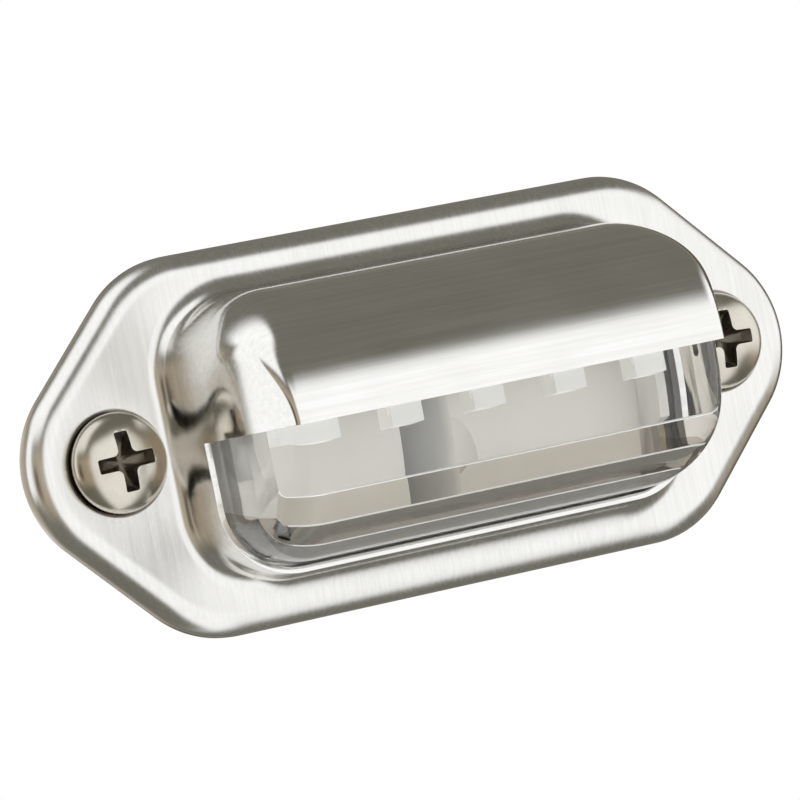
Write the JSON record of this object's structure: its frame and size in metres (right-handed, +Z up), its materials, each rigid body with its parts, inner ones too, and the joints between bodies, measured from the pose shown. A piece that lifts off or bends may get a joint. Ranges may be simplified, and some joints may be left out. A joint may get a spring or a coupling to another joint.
{
  "type": "marker lamp",
  "caption": "Small surface-mounted marker or number plate lamp with a drawn stainless hood, a clear lens and white diodes, held by two pan head screws.",
  "frame": {"origin": "centre of the mounting plane, midway between the two screws", "axes": "+X along the flange, +Y into the wall it is screwed to, +Z up, so the hood is above and its window faces down; the lamp reaches out along -Y"},
  "size_m": [0.08, 0.0384, 0.0356],
  "materials": {
    "steel": "bright, faintly brushed",
    "lens": "clear moulded polycarbonate",
    "diode": "white diode body",
    "board": "white solder mask",
    "resistor": "dark chip with tinned ends",
    "base": "light grey moulding",
    "foam": "closed-cell foam",
    "screw": "stainless, slightly duller than the sheet"
  },
  "bodies": {
    "root": {"housing": "steel", "lens": "lens", "led_1": "diode", "led_2": "diode", "led_3": "diode", "led_4": "diode", "led_5": "diode", "board": "board", "resistor_1": "resistor", "resistor_2": "resistor", "base": "base", "gasket": "foam", "screw_left": "screw", "screw_right": "screw"}
  },
  "joints": []
}
